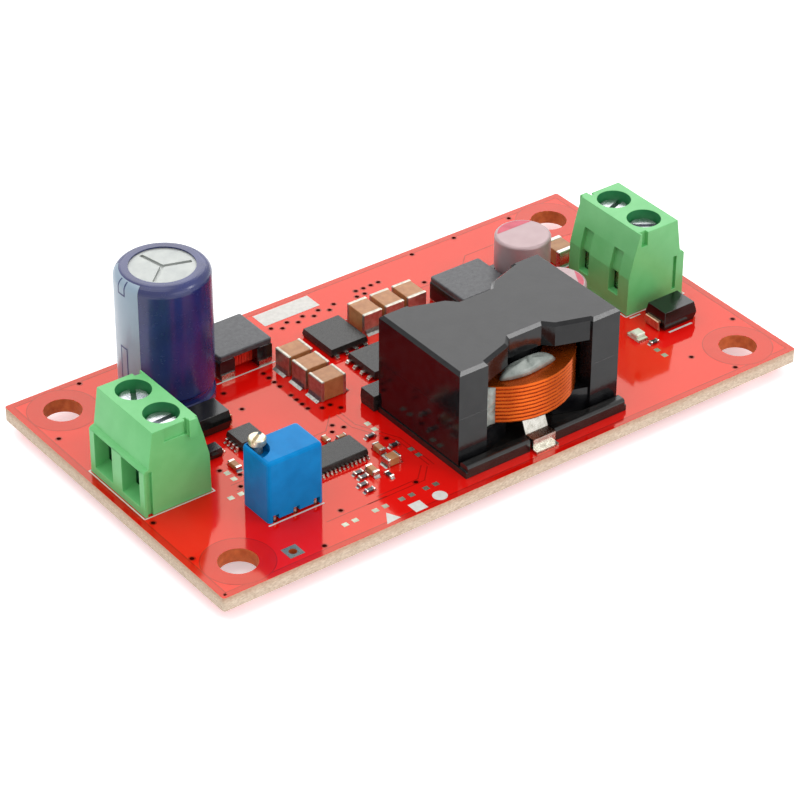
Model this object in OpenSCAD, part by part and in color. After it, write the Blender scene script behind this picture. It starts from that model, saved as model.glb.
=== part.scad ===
// Step-down (buck) converter module: a circuit board with two screw terminals,
// a large edgewise-wound power inductor, capacitors, chokes, power transistors
// and an adjusting trimmer. Millimetres. X runs along the board from the input
// terminal to the output terminal, Z up. The origin is under the board's centre,
// at the tips of the soldered leads.

/* [Board] */
// Length of the board, along X
board_l = 74.6; // [74:0.1:90]
// Width of the board, along Y
board_w = 41.1; // [41:0.1:60]
// Thickness of the board
board_t = 1.6; // [1:0.1:2.4]
// Radius of the board's corners
board_corner_r = 0.3; // [0.1:0.1:3]
// Diameter of the four mounting holes
mount_hole_d = 4.15; // [3:0.05:4.5]
// Distance of each mounting hole from the board's end
mount_inset_x = 4.6; // [3.5:0.1:6]
// Distance of each mounting hole from the board's side
mount_inset_y = 4.23; // [3.5:0.01:6]
// How far the soldered leads stand out below the board
lead_out = 1.4; // [0.8:0.1:3]
// Gap between a lead and the wall of its hole in the board
lead_hole_gap = 0.12; // [0.05:0.01:0.3]
// Height of the solder cones under the board
solder_h = 0.8; // [0.3:0.1:1.2]
// Width of the solder ring around a lead, at the board
solder_ring = 0.55; // [0.3:0.05:0.8]
// Diameter of the open test hole near the front edge
test_hole_d = 0.9; // [0.6:0.1:1.2]

/* [Screw terminals] */
// Distance between the two poles of a terminal
pole_pitch = 5.08; // [5:0.01:7.62]
// Depth of the housing, from the wire entries to the back
term_d = 8; // [7.9:0.1:9]
// Height of the housing above the board
term_h = 9.88; // [9.6:0.01:11]
// Height of the lip around the wire entries
term_lip_h = 5.6; // [5.4:0.1:6]
// How far the front's top edge leans back from the lip
term_front_lean = 1.2; // [0.8:0.1:1.5]
// Length of the flat top, front to back
term_top_l = 5.3; // [4.8:0.1:5.6]
// Width of a wire entry
entry_w = 3.3; // [2.6:0.1:3.6]
// Bottom of a wire entry above the board
entry_floor = 0.9; // [0.6:0.1:1.2]
// Top of a wire entry above the board
entry_top = 5.3; // [4.6:0.1:5.3]
// Distance from the lip to the screws' axes
screw_inset = 3.95; // [3.8:0.05:4.1]
// Diameter of the screwdriver wells
well_d = 3.75; // [3.6:0.05:3.9]
// Diameter of a terminal screw's head
screw_head_d = 3.5; // [3:0.05:3.55]
// Height of a terminal screw's head
screw_head_h = 1.15; // [0.8:0.05:1.6]
// Diameter of a terminal screw's thread
screw_d = 2.8; // [2.4:0.1:2.9]
// Width of the screwdriver slot
screw_slot_w = 0.6; // [0.4:0.05:0.8]
// Depth of the screwdriver slot
screw_slot_depth = 0.7; // [0.4:0.05:0.7]
// Underside of the screw heads above the board
screw_seat_z = 7.8; // [7.7:0.1:8.1]
// Height of the chamber that the clamp rises in
chamber_h = 7; // [6.9:0.1:7.2]
// Width of the chamber
chamber_w = 4; // [3.9:0.1:4.3]
// Height of a clamp cage
clamp_h = 4.2; // [4:0.1:4.3]
// Width of a clamp cage, across the wire
clamp_w = 3.7; // [3.4:0.1:3.75]
// Length of a clamp cage, along the wire
clamp_l = 3.5; // [3:0.1:3.6]
// Wall of a clamp cage's sides
clamp_wall = 0.45; // [0.35:0.05:0.5]
// Thickness of a clamp cage's bottom, which presses on the wire
clamp_bottom = 0.7; // [0.5:0.05:0.8]
// Thickness of a clamp cage's threaded top
clamp_top = 0.8; // [0.6:0.05:0.9]
// Gap between the screw's thread and the clamp's hole
thread_gap = 0.05; // [0.02:0.01:0.1]
// Thickness of the contact sheet
contact_t = 0.6; // [0.4:0.05:0.65]
// Width of the contact inside the clamp
contact_w = 2.5; // [2:0.1:2.6]
// Width of the solder pin
pin_w = 0.9; // [0.7:0.05:1.1]
// Y of the input terminal's middle, from the board's front edge
input_y = 20.65; // [18:0.05:23]
// Distance from the input lip to the board's end
input_inset = 1.12; // [0.5:0.01:1.5]
// Y of the output terminal's middle, from the board's front edge
output_y = 20.95; // [18:0.05:23]
// Distance from the output lip to the board's end
output_inset = 2.55; // [1.6:0.01:2.6]
// Angle of each screw slot at rest: input 1, input 2, output 1, output 2
slot_angles = [3, 62, 20, -35]; // [-90:1:90]

/* [Large capacitor] */
// Outer diameter of the sleeved can
bulk_d = 10.25; // [8:0.05:10.4]
// Height of the can above the board
bulk_h = 16.45; // [10:0.05:20]
// Thickness of the printed sleeve
sleeve_t = 0.15; // [0.1:0.05:0.3]
// Radius of the can's top shoulder
bulk_shoulder_r = 0.9; // [0.5:0.1:1.2]
// Diameter of the bare metal left open by the sleeve on top
bulk_bare_d = 7.1; // [6:0.1:7.6]
// Depth of the rolled groove above the base
bulk_groove = 0.35; // [0.2:0.05:0.5]
// Distance between the two leads
bulk_lead_pitch = 5; // [3.5:0.1:5.5]
// Diameter of a lead
bulk_lead_d = 0.6; // [0.5:0.05:0.8]
// Width of a pressure-relief score on the top
score_w = 0.45; // [0.2:0.05:0.5]
// Depth of a pressure-relief score
score_depth = 0.25; // [0.1:0.05:0.3]
// Direction of the first score
score_angle = 102; // [0:1:119]
// Centre of the can on the board
bulk_at = [14.85, 32.43]; // [0:0.01:75]

/* [Trimmer] */
// Length of the trimmer, along X
trim_l = 6.68; // [6.4:0.01:7.2]
// Width of the trimmer, along Y
trim_w = 4.62; // [4.4:0.01:5]
// Height of the trimmer
trim_h = 7.34; // [6.6:0.01:9]
// Radius of the trimmer's moulded edges
trim_edge_r = 0.35; // [0.2:0.05:0.5]
// Height of the feet that lift the trimmer off the board
trim_foot_h = 0.3; // [0.2:0.05:0.5]
// Diameter of the adjusting screw's head
trim_screw_d = 1.85; // [1.5:0.05:2]
// How far the adjusting screw stands above the trimmer
trim_screw_out = 0.85; // [0.6:0.05:1.1]
// Depth of the pocket around the screw
trim_pocket = 0.95; // [0.5:0.05:1.2]
// Distance between the trimmer's leads
trim_lead_pitch = 2.5; // [2.3:0.01:2.54]
// Diameter of a trimmer lead
trim_lead_d = 0.5; // [0.4:0.05:0.6]
// Angle of the adjusting screw's slot at rest
trim_slot_angle = 31; // [0:1:179]
// Centre of the trimmer on the board
trim_at = [13.82, 9.66]; // [0:0.01:75]

/* [Power inductor] */
// Length of the ferrite core, along X
core_l = 20.95; // [20.4:0.05:21]
// Width of the ferrite core, along Y
core_w = 13.7; // [13.3:0.1:13.9]
// Height of the core's top above the board
core_top = 12; // [11.8:0.1:13]
// Thickness of each core half's plate
core_plate = 2.7; // [2.3:0.1:2.8]
// Bevel round the top of the upper core half
core_bevel = 0.35; // [0.1:0.05:0.5]
// Width of a core leg at the front, along X
core_leg = 3.65; // [3.2:0.05:3.7]
// Radius of the round window between the legs and the centre post
window_r = 8.45; // [8.2:0.05:8.5]
// Diameter of the round centre post
post_d = 8.2; // [7.6:0.1:8.4]
// Gap left between the two centre posts
post_gap = 0.6; // [0.2:0.1:1]
// Number of turns of flat wire
coil_turns = 10; // [6:1:10]
// Rise of the coil in one turn
coil_pitch = 0.45; // [0.42:0.01:0.45]
// Thickness of the flat wire
wire_t = 0.4; // [0.3:0.01:0.41]
// Outer radius of the coil
coil_r = 8.05; // [7.8:0.05:8.1]
// Inner radius of the coil
coil_bore_r = 4.5; // [4.3:0.05:5]
// Underside of the coil above the board
coil_z = 3.45; // [3.45:0.05:3.6]
// Length of the moulded header, along X
header_l = 21.2; // [21:0.1:21.6]
// Width of the moulded header, along Y
header_w = 16.7; // [16.5:0.1:16.9]
// Length of the header's short rear bar, along X
header_rear_l = 11; // [8:0.5:14]
// Thickness of the header's floor
header_floor = 0.7; // [0.5:0.05:0.8]
// Height of the header's front and back bars
header_bar_h = 1.45; // [1.2:0.05:1.6]
// Depth of the header's bars, along Y
header_bar_w = 1.3; // [1:0.05:1.35]
// Width of the gap that the clip passes through
clip_slot_w = 3.3; // [3.2:0.1:3.6]
// Width of an inductor clip
clip_w = 2.9; // [2.4:0.1:3]
// Thickness of an inductor clip
clip_t = 0.3; // [0.2:0.05:0.4]
// Offset of the clips from the inductor's middle
clip_x = -0.6; // [-0.6:0.05:0.6]
// Centre of the inductor on the board
inductor_at = [41.68, 10.24]; // [0:0.01:75]

/* [Chokes] */
// Length of a choke, along X
choke_l = 6.75; // [6.4:0.05:7]
// Width of a choke, along Y
choke_w = 6.1; // [5.6:0.1:6.4]
// Height of a choke
choke_h = 3.06; // [2.8:0.01:3.6]
// Thickness of a choke's flat top plate
choke_plate_t = 0.6; // [0.5:0.05:0.9]
// Width of each end pillar, along X
choke_pillar = 1.95; // [1.6:0.05:2.1]
// Diameter of the enamelled wire
choke_wire_d = 0.32; // [0.2:0.01:0.34]
// Number of turns round the choke's bar
choke_turns = 8; // [5:1:8]
// Centre of the input choke on the board
input_choke_at = [24.28, 34.56]; // [0:0.01:75]
// Centre of the output choke on the board
output_choke_at = [52.05, 28.3]; // [0:0.01:75]

/* [Ceramic capacitors] */
// Length of a large ceramic capacitor, between its ends
mlcc_l = 3.2; // [3:0.1:3.4]
// Width of a large ceramic capacitor
mlcc_w = 2.5; // [2.2:0.1:2.6]
// Height of a large ceramic capacitor
mlcc_h = 2.5; // [1.6:0.1:2.8]
// Length of the metal ends on a large ceramic capacitor
mlcc_cap = 0.4; // [0.3:0.05:0.8]
// Spacing of the input row, along Y
input_row_pitch = 3.04; // [2.9:0.01:3.3]
// Spacing of the output row, along X
output_row_pitch = 3; // [2.9:0.01:3.3]
// Middle of the input row on the board
input_row_at = [28.9, 26.17]; // [0:0.01:75]
// Middle of the output row on the board
output_row_at = [42.85, 31.44]; // [0:0.01:75]

/* [Chips and diodes] */
// Length of a power transistor's body, along X
fet_l = 4.9; // [4.6:0.1:5]
// Width of a power transistor's body, along Y
fet_w = 5.5; // [5.2:0.1:5.8]
// Height of a power transistor
fet_h = 1.05; // [0.8:0.05:1.3]
// Spacing of a power transistor's leads
fet_lead_pitch = 1.27; // [1.1:0.01:1.27]
// Centre of the first power transistor on the board
fet_1_at = [35.45, 30.85]; // [0:0.01:75]
// Centre of the second power transistor on the board
fet_2_at = [36.95, 24.35]; // [0:0.01:75]
// Length of the controller chip's body, along X
control_l = 6.2; // [6:0.1:6.4]
// Width of the controller chip's body, along Y
control_w = 3.4; // [3.2:0.1:3.5]
// Height of the controller chip
control_h = 1; // [0.8:0.05:1.2]
// Spacing of the controller chip's leads
control_pitch = 0.508; // [0.5:0.001:0.53]
// Leads along each side of the controller chip
control_leads = 12; // [8:1:12]
// Centre of the controller chip on the board
control_at = [22.35, 12.7]; // [0:0.01:75]
// Side of the square driver chip's body
driver_side = 3; // [2.8:0.1:3.2]
// Height of the driver chip
driver_h = 1.1; // [0.8:0.05:1.4]
// Spacing of the driver chip's leads
driver_pitch = 0.63; // [0.6:0.01:0.65]
// Centre of the driver chip on the board
driver_at = [16.85, 20.77]; // [0:0.01:75]
// Centre of the small diode on the board
small_diode_at = [12.15, 20.7]; // [0:0.01:75]
// Size of the flat chip behind the inductor: length, width and height
rear_chip_size = [4.3, 2.4, 1.9]; // [1:0.05:5]
// Centre of the flat chip behind the inductor
rear_chip_at = [32.8, 18.42]; // [0:0.01:75]
// Length of a diode's body, along X
diode_l = 4.6; // [4.2:0.1:4.8]
// Width of a diode's body, along Y
diode_w = 3.3; // [3:0.1:3.6]
// Height of a diode
diode_h = 2.3; // [2:0.05:2.6]
// Width of a diode's leads
diode_lead_w = 2.1; // [1.6:0.1:2.4]
// Centre of the input diode on the board
input_diode_at = [14.75, 25.2]; // [0:0.01:75]
// Centre of the output diode on the board
output_diode_at = [67.5, 12.5]; // [0:0.01:75]

/* [Polymer capacitors] */
// Diameter of a polymer capacitor's can
polymer_d = 6.3; // [5:0.1:6.4]
// Height of a polymer capacitor
polymer_h = 6.2; // [5:0.1:7.7]
// Side of a polymer capacitor's square base
polymer_base = 6.6; // [6.5:0.1:6.7]
// Centre of the first polymer capacitor on the board
polymer_1_at = [59.3, 28.4]; // [0:0.01:75]
// Centre of the second polymer capacitor on the board
polymer_2_at = [56.2, 18.4]; // [0:0.01:75]

/* [Small parts] */
// Length of a small chip resistor or capacitor
chip_l = 1.1; // [1:0.05:1.2]
// Width of a small chip resistor or capacitor
chip_w = 0.55; // [0.5:0.05:0.6]
// Height of a small chip resistor
chip_h = 0.4; // [0.3:0.05:0.45]
// Length of the metal ends on a small chip
chip_cap = 0.25; // [0.15:0.05:0.3]
// Length of the indicator lamp, along Y
led_l = 2; // [1.8:0.1:2.2]
// Width of the indicator lamp, along X
led_w = 1.25; // [1:0.05:1.4]
// Height of the indicator lamp
led_h = 0.8; // [0.6:0.05:1]
// Centre of the indicator lamp on the board
led_at = [62.3, 11.9]; // [0:0.01:75]

/* [Hidden] */

$fn = 48;
eps = 0.01;
// Gap between pieces that are placed side by side but not joined
seat_gap = 0.03;
board_top = lead_out + board_t;

// ---- Terminals -----------------------------------------------------------
term_w = 2 * pole_pitch;
lip_step = 0.3;
rear_kink_h = 4.6;
rear_kink_in = 0.1;
rear_shoulder_h = 7.1;
rear_shoulder_in = 0.7;
front_wall = 1.7;
chamber_back = 6.2;
contact_slot_back = 7.05;
clamp_z = 0.95;
contact_top = clamp_z + clamp_h - clamp_top - seat_gap;
contact_back = contact_slot_back - 0.1;
screw_tip_z = contact_top + 0.08;
pin_x = contact_back - contact_t / 2;
input_x = input_inset;
output_x = board_l - output_inset;
rib_w = 0.75;
rib_out = 0.4;
rib_x = 5.5;
rib_low = 7.75;
rear_window_w = 1.6;
rear_window_low = 1.8;
rear_window_high = 4.3;
rear_recess = 0.5;

// ---- Leads through the board: centre and radius of each --------------------
trim_lead_y = trim_w / 2 - 0.4;
terminal_pin_r = pin_w / 2 + 0.1;
input_pins = [for (s = [-1, 1]) [input_x + pin_x, input_y + s * pole_pitch / 2, terminal_pin_r]];
output_pins = [for (s = [-1, 1]) [output_x - pin_x, output_y + s * pole_pitch / 2, terminal_pin_r]];
bulk_leads = [for (s = [-1, 1]) [bulk_at[0] + s * bulk_lead_pitch / 2, bulk_at[1], bulk_lead_d / 2]];
trim_leads = [for (s = [-1:1]) [trim_at[0] + s * trim_lead_pitch, trim_at[1] - trim_lead_y, trim_lead_d / 2]];
through_leads = concat(input_pins, output_pins, bulk_leads, trim_leads);
test_hole_at = [9.85, 2.35];

// ---- Trimmer ----------------------------------------------------------------
trim_screw_x = -2.1;
trim_screw_y = 1.35;
trim_neck_d = 1.1;
trim_head_low = trim_h + 0.1;
trim_rim = 0.28;
trim_pocket_r = 1.95;

// ---- Inductor -----------------------------------------------------------------
core_bottom = header_floor + seat_gap;
core_mid = (core_bottom + core_top) / 2;
core_x = core_l / 2;
core_y = core_w / 2;
leg_step = 0.35;
taper_x = 3.1;
taper_in = 1.55;
notch_x = 2.1;
notch_in = 2.6;
coil_segments = 36;
// Steps of the first turn that lie ahead of the front clip
coil_lead_steps = 8;
coil_start = -90 - 360 * coil_lead_steps / coil_segments;
coil_clip_z = coil_z + coil_pitch * coil_lead_steps / coil_segments;
coil_steps = (coil_turns - 0.5) * coil_segments + coil_lead_steps;
coil_top = coil_clip_z + (coil_turns - 0.5) * coil_pitch + wire_t;
bar_y = header_w / 2 - header_bar_w;
glue_run_x = -6.7;
glue_run_w = 1.6;
// One end of the core's edge, from the corner to the notch in the middle
core_edge = [
    [core_x, core_y], [core_x - core_leg, core_y], [core_x - core_leg - 0.08, core_y - leg_step],
    [taper_x, core_y - taper_in], [notch_x, core_y - notch_in]
];
plate_outline = concat(
    core_edge,
    reversed([for (p = core_edge) [-p[0], p[1]]]),
    [for (p = core_edge) -p],
    reversed([for (p = core_edge) [p[0], -p[1]]])
);

// ---- Chokes ------------------------------------------------------------------
choke_lift = 0.12;
choke_bar_w = 3.6;
choke_bar_h = 1.3;
choke_terminal_t = 0.12;

// ---- Small parts: centre and turn of each on the board ----------------------
chip_resistor_places = [
    [27.65, 13.75, 0], [28.7, 11, 0], [25.15, 7.05, 90], [22.8, 9.2, 0],
    [22.8, 8.3, 0], [21.95, 7.25, 0], [21.95, 6.05, 0], [63, 10, 0]
];
// Each entry adds length, width and height
chip_capacitor_places = [
    [25, 15.2, 0, 1.1, 0.6, 0.6], [23.5, 15.8, 90, 1.1, 0.6, 0.6], [26.85, 11.1, 90, 1.6, 0.8, 0.8],
    [26.7, 8.75, 0, 1.7, 1.25, 1], [24, 8.4, 90, 1.6, 0.8, 0.8], [13.3, 17.6, 90, 1.6, 0.8, 0.6],
    [65.6, 29.6, 90, 3.2, 2.5, 2]
];
input_row = [for (k = [-1:1]) [input_row_at[0], input_row_at[1] + k * input_row_pitch, 0]];
output_row = [for (k = [-1:1]) [output_row_at[0] + k * output_row_pitch, output_row_at[1], 90]];

// ---- Helpers -----------------------------------------------------------------

function unit(v) = v / norm(v);

function reversed(v) = [for (i = [len(v) - 1:-1:0]) v[i]];

// Points along an arc of a circle
function arc(cx, cy, r, a0, a1, n) = [
    for (k = [0:n])
        let (a = a0 + (a1 - a0) * k / n)
        [cx + r * cos(a), cy + r * sin(a)]
];

// A rectangle with round corners, counter-clockwise round the origin
function round_rect(l, w, r, n = 3) = concat(
    arc(l / 2 - r, w / 2 - r, r, 0, 90, n),
    arc(r - l / 2, w / 2 - r, r, 90, 180, n),
    arc(r - l / 2, r - w / 2, r, 180, 270, n),
    arc(l / 2 - r, r - w / 2, r, 270, 360, n)
);

// Corner b of an outline moved inwards by d, between its neighbours a and c
function inset_corner(a, b, c, d) =
    let (u = unit(b - a), v = unit(c - b), n = [-u[1], u[0]], m = [-v[1], v[0]])
    b + d * (n + m) / (1 + n * m);

function inset(pts, d) = [
    for (i = [0:len(pts) - 1])
        inset_corner(pts[(i + len(pts) - 1) % len(pts)], pts[i], pts[(i + 1) % len(pts)], d)
];

// A convex outline's end face, and one cut into strips for an outline that mirrors across X
function whole_cap(n) = [[for (i = [0:n - 1]) i]];
function strip_cap(n) = [for (i = [0:n / 2 - 2]) [i, i + 1, n - 2 - i, n - 1 - i]];

// Faces of a stack of rings with n points each, closed by cap at both ends
function ring_faces(n, rings, cap) = concat(
    cap,
    [
        for (k = [0:rings - 2], i = [0:n - 1])
            [k * n + i, (k + 1) * n + i, (k + 1) * n + (i + 1) % n, k * n + (i + 1) % n]
    ],
    [for (f = cap) [for (i = reversed(f)) (rings - 1) * n + i]]
);

// An outline raised to height h, with its top edge rounded by r
module soft_slab(pts, h, r, steps = 2, convex = true) {
    rings = concat(
        [[0, 0]],
        [for (k = [0:steps]) [r * (1 - cos(90 * k / steps)), h - r + r * sin(90 * k / steps)]]
    );
    polyhedron(
        points = [for (g = rings) each [for (p = inset(pts, g[0])) [p[0], p[1], g[1]]]],
        faces = ring_faces(len(pts), len(rings), convex ? whole_cap(len(pts)) : strip_cap(len(pts)))
    );
}

// A block on the board with every edge bevelled by c
module bevel_box(l, w, h, c) {
    intersection() {
        linear_extrude(h) polygon(round_rect(l, w, c, 1));
        side_extrude(w) translate([0, h / 2]) polygon(round_rect(l, h, c, 1));
        end_extrude(l) translate([0, h / 2]) polygon(round_rect(w, h, c, 1));
    }
}

// Extrudes an X-Z outline along Y, about the middle
module side_extrude(w) {
    rotate([90, 0, 0]) linear_extrude(w, center = true) children();
}

// Extrudes a Y-Z outline along X, about the middle
module end_extrude(l) {
    rotate([90, 0, 90]) linear_extrude(l, center = true) children();
}

// Puts its children at a point of the board's top, measured from the board's corner
module place(at, turn = 0) {
    translate([at[0] - board_l / 2, at[1] - board_w / 2, board_top]) rotate([0, 0, turn]) children();
}

// A moulded package that is widest at its parting line
module mould_body(l, w, low, h, draft) {
    parting = low + (h - low) * 0.45;
    intersection() {
        side_extrude(w) polygon(mould_outline(l, low, parting, h, draft));
        end_extrude(l) polygon(mould_outline(w, low, parting, h, draft));
    }
}

function mould_outline(l, low, parting, h, draft) = [
    [-l / 2, parting], [-l / 2 + draft, low], [l / 2 - draft, low],
    [l / 2, parting], [l / 2 - draft, h], [-l / 2 + draft, h]
];

// A lead bent out of a package at height z and down onto the board, towards +X
module gull_lead(width, z, t, out) {
    side_extrude(width)
        polygon([
            [0, z - t / 2], [out * 0.3, z - t / 2], [out * 0.45, 0], [out, 0],
            [out, t], [out * 0.45 + t, t], [out * 0.3 + t, z + t / 2], [0, z + t / 2]
        ]);
}

// A lead that runs from a package's end at height z down to the board, towards +X
module fold_lead(width, z, t, out) {
    side_extrude(width)
        polygon([
            [0, z - t], [out - t, z - t], [out - t * 1.2, t], [0.1, t],
            [0.1, 0], [out - t, 0], [out, t], [out, z - t * 0.4], [out - t * 0.5, z], [0, z]
        ]);
}

// The ceramic block of a chip part
module chip_block(l, w, h) {
    translate([0, 0, 0.05]) bevel_box(l - 0.1, w - 0.1, h - 0.1, 0.06);
}

// The two metal cups on the ends of a chip part
module chip_cups(l, w, h, cap) {
    for (s = [-1, 1]) {
        difference() {
            translate([s * (l - cap) / 2, 0, 0]) bevel_box(cap, w, h, 0.08);
            chip_block(l, w, h);
        }
    }
}

// A solder fillet against an end face at x, towards +X
module fillet(x, width, size) {
    translate([x, 0, 0])
        side_extrude(width)
        polygon([[0, 0], [size, 0], [size * 0.35, size * 0.3], [0, size]]);
}

module end_fillets(l, width, size) {
    for (turn = [0, 180]) {
        rotate([0, 0, turn]) fillet(l / 2, width, size);
    }
}

// ---- Board ---------------------------------------------------------------------

module circuit_board() {
    color("crimson")
        translate([0, 0, lead_out])
        difference() {
            linear_extrude(board_t) polygon(round_rect(board_l, board_w, board_corner_r, 6));
            for (sx = [-1, 1], sy = [-1, 1]) {
                translate([sx * (board_l / 2 - mount_inset_x), sy * (board_w / 2 - mount_inset_y), -1])
                    cylinder(d = mount_hole_d, h = board_t + 2);
            }
            for (lead = through_leads) {
                board_hole(lead, lead[2] + lead_hole_gap);
            }
            board_hole(test_hole_at, test_hole_d / 2);
        }
}

module board_hole(at, r) {
    translate([at[0] - board_l / 2, at[1] - board_w / 2, -1]) cylinder(r = r, h = board_t + 2, $fn = 24);
}

// ---- Screw terminals ---------------------------------------------------------------
// Each is modelled with its wire entries facing -X and its lip at X = 0.

module at_input() {
    place([input_x, input_y]) children();
}

module at_output() {
    place([output_x, output_y], 180) children();
}

module at_pole(i) {
    translate([0, (i - 1.5) * pole_pitch, 0]) children();
}

module terminal_housing() {
    color("mediumseagreen")
        difference() {
            union() {
                side_extrude(term_w) terminal_profile();
                joining_rib();
            }
            for (i = [1, 2]) {
                at_pole(i) pole_cavity();
            }
            end_recesses();
        }
}

module terminal_profile() {
    top_back = term_front_lean + term_top_l;
    polygon([
        [0, 0], [0, term_lip_h - 0.25], [lip_step * 0.6, term_lip_h], [lip_step * 2, term_lip_h + 0.12],
        [term_front_lean, term_h], [top_back, term_h], [term_d - rear_shoulder_in, rear_shoulder_h],
        [term_d - rear_kink_in, rear_kink_h], [term_d, 0]
    ]);
}

// The rib on one end that hooks into the next terminal's slot
module joining_rib() {
    translate([rib_x, -term_w / 2 - rib_out, rib_low])
        linear_extrude(term_h - rib_low)
        polygon([[-0.12, 0], [rib_w + 0.12, 0], [rib_w, rib_out + 0.1], [0, rib_out + 0.1]]);
}

// The shallow recess in the back of a pole, open to the contact at its foot
module rear_recess() {
    side_extrude(rear_window_w)
        polygon([
            [term_d - rear_recess, rear_window_low], [term_d + 1, rear_window_low], [term_d + 1, rear_shoulder_h],
            [term_d - rear_shoulder_in - rear_recess, rear_shoulder_h], [term_d - rear_kink_in - rear_recess, rear_kink_h]
        ]);
    translate([chamber_back - eps, -rear_window_w / 2, rear_window_low])
        cube([term_d, rear_window_w, rear_window_high - rear_window_low]);
}

// What is hollow at one pole
module pole_cavity() {
    side_extrude(entry_w)
        polygon([
            [-1, entry_floor - 0.2], [0, entry_floor], [front_wall + eps, entry_floor + 0.45],
            [front_wall + eps, entry_top - 0.2], [0, entry_top], [-1, entry_top]
        ]);
    translate([front_wall, -chamber_w / 2, -1])
        cube([chamber_back - front_wall, chamber_w, chamber_h + 1]);
    translate([chamber_back - eps, -contact_w / 2 - 0.1, -1])
        cube([contact_slot_back - chamber_back + eps, contact_w + 0.2, contact_top + 1.2]);
    rear_recess();
    translate([screw_inset, 0, screw_seat_z]) cylinder(d = well_d, h = term_h);
    translate([screw_inset, 0, chamber_h - 1]) cylinder(d = screw_d + 0.3, h = screw_seat_z - chamber_h + 1.5);
}

// Panels, grooves and the joining slot sunk into the two ends
module end_recesses() {
    translate([rib_x - 2.9, -term_w / 2 - 1, rib_low + 0.5]) cube([2.5, 1.2, term_h - rib_low - 0.7]);
    translate([rib_x - 0.42, -term_w / 2 - 1, rib_low + 0.4]) cube([0.3, 1.4, term_h]);
    translate([0.35, -term_w / 2 - 1, -1]) cube([0.6, 1.35, entry_top + 1]);
    translate([1.1, term_w / 2 - 0.35, 1.1]) cube([0.45, 1.35, entry_top - 1.1]);
    translate([rib_x - 0.05, term_w / 2 - rib_out - 0.1, rib_low + 0.45]) cube([rib_w + 0.1, 2, term_h]);
}

module terminal_screw(slot_angle) {
    color("silver")
        translate([screw_inset, 0, 0])
        difference() {
            rotate_extrude()
                polygon([
                    [0, screw_tip_z], [screw_d / 2 - 0.2, screw_tip_z], [screw_d / 2, screw_tip_z + 0.2],
                    [screw_d / 2, screw_seat_z + seat_gap], [screw_head_d / 2, screw_seat_z + seat_gap],
                    [screw_head_d / 2, screw_seat_z + screw_head_h - 0.2],
                    [screw_head_d / 2 - 0.25, screw_seat_z + screw_head_h], [0, screw_seat_z + screw_head_h]
                ]);
            rotate([0, 0, slot_angle])
                translate([-screw_head_d, -screw_slot_w / 2, screw_seat_z + screw_head_h - screw_slot_depth])
                cube([2 * screw_head_d, screw_slot_w, screw_head_h]);
        }
}

module terminal_clamp() {
    color("lightsteelblue")
        translate([screw_inset, 0, clamp_z])
        difference() {
            linear_extrude(clamp_h) polygon(round_rect(clamp_l, clamp_w, 0.25, 3));
            translate([-clamp_l, clamp_wall - clamp_w / 2, clamp_bottom])
                cube([2 * clamp_l, clamp_w - 2 * clamp_wall, clamp_h - clamp_top - clamp_bottom]);
            translate([0, 0, clamp_h - clamp_top - 0.5])
                cylinder(d = screw_d + 2 * thread_gap, h = clamp_top + 1);
            for (k = [-1:1]) {
                translate([k * clamp_l / 4, 0, clamp_bottom])
                    rotate([0, 45, 0])
                    cube([0.25, clamp_w - 2 * clamp_wall, 0.25], center = true);
            }
        }
}

module terminal_contact() {
    pin_tip = -board_t - lead_out;
    color("gainsboro")
        union() {
            translate([contact_back - contact_t / 2, 0, 0])
                end_extrude(contact_t)
                polygon([
                    [-contact_w / 2, contact_top], [-contact_w / 2, 0.4], [-pin_w / 2, 0.4],
                    [-pin_w / 2, pin_tip + 0.4], [-pin_w / 4, pin_tip], [pin_w / 4, pin_tip],
                    [pin_w / 2, pin_tip + 0.4], [pin_w / 2, 0.4], [contact_w / 2, 0.4], [contact_w / 2, contact_top]
                ]);
            translate([front_wall + 0.3, -contact_w / 2, contact_top - contact_t])
                cube([contact_back - front_wall - 0.3, contact_w, contact_t]);
        }
}

module terminal_contacts() {
    for (i = [1, 2]) {
        at_pole(i) terminal_contact();
    }
}

module input_terminal_housing() { at_input() terminal_housing(); }
module input_terminal_screw_1() { at_input() at_pole(1) terminal_screw(slot_angles[0]); }
module input_terminal_screw_2() { at_input() at_pole(2) terminal_screw(slot_angles[1]); }
module input_terminal_clamp_1() { at_input() at_pole(1) terminal_clamp(); }
module input_terminal_clamp_2() { at_input() at_pole(2) terminal_clamp(); }
module input_terminal_contacts() { at_input() terminal_contacts(); }

module output_terminal_housing() { at_output() terminal_housing(); }
module output_terminal_screw_1() { at_output() at_pole(1) terminal_screw(slot_angles[2]); }
module output_terminal_screw_2() { at_output() at_pole(2) terminal_screw(slot_angles[3]); }
module output_terminal_clamp_1() { at_output() at_pole(1) terminal_clamp(); }
module output_terminal_clamp_2() { at_output() at_pole(2) terminal_clamp(); }
module output_terminal_contacts() { at_output() terminal_contacts(); }

// ---- Large capacitor ----------------------------------------------------------------

// The side of a can with a rolled groove near its base and a round shoulder
function can_side(r, base, top, shoulder, groove_z, groove) = concat(
    [
        [r - 0.3, base], [r, base + 0.3], [r, groove_z - 0.7], [r - groove * 0.7, groove_z - 0.35],
        [r - groove, groove_z], [r - groove * 0.7, groove_z + 0.35], [r, groove_z + 0.7]
    ],
    arc(r - shoulder, top - shoulder, shoulder, 0, 90, 8)
);

bulk_groove_z = 2.1;
bulk_base_z = 0.25;
bulk_can_r = bulk_d / 2 - sleeve_t - seat_gap;
bulk_can_top = bulk_h - sleeve_t - seat_gap;

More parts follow.
